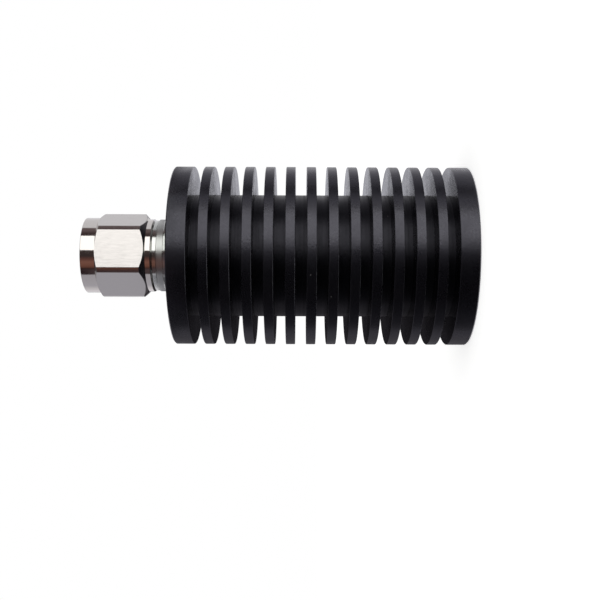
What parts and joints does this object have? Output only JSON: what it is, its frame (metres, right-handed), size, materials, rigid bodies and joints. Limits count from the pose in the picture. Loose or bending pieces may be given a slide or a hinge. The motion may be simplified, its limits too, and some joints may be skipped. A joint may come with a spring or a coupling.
{
  "type": "coaxial terminator",
  "caption": "Coaxial termination with an N-type plug, a hexagon coupling nut that turns, and a round black anodised finned heat sink that cools the load resistor inside.",
  "frame": {"origin": "centre of the heat sink's rear face, on which the part stands", "axes": "+Z along the turned axis towards the plug, +X up in the picture, +Y away from the picture's camera"},
  "size_m": [0.045, 0.045, 0.0959],
  "materials": {
    "black_anodised_aluminium": "turned, fine blasted, black anodised, satin",
    "bright_nickel_plated_brass": "turned brass with bright nickel plating, fine lengthwise grain on the flats",
    "satin_nickel_plated_brass": "turned brass with satin nickel plating",
    "spring_steel": "rolled and formed, bare",
    "silicone_rubber": "moulded, matt",
    "gold_plated_brass": "turned, gold plated",
    "turned_ptfe": "turned PTFE, waxy",
    "milled_copper": "turned and milled copper",
    "nickel_plated_copper": "stamped copper, nickel plated",
    "fired_ceramic": "fired and lapped ceramic",
    "stainless_steel": "cold headed, plain"
  },
  "bodies": {
    "load": {"heat_sink": "black_anodised_aluminium", "plug_body": "satin_nickel_plated_brass", "nut_snap_ring": "spring_steel", "nut_gasket": "silicone_rubber", "outer_contact": "satin_nickel_plated_brass", "centre_pin": "gold_plated_brass", "front_insulator": "turned_ptfe", "rear_insulator": "turned_ptfe", "insulator_lock_ring": "satin_nickel_plated_brass", "body_seal_ring": "silicone_rubber", "resistor_carrier": "milled_copper", "resistor_flange": "nickel_plated_copper", "resistor_chip": "fired_ceramic", "resistor_cover": "fired_ceramic", "resistor_lead": "gold_plated_brass", "flange_screw": "stainless_steel", "flange_washer": "stainless_steel", "carrier_screws": "stainless_steel", "carrier_washers": "stainless_steel"},
    "nut": {"coupling_nut": "bright_nickel_plated_brass"}
  },
  "joints": [
    {"name": "nut_turn", "type": "hinge", "parent": "load", "child": "nut", "pos_m": [0, 0, 0.0805], "axis": [0, 0, 1], "continuous": true}
  ]
}
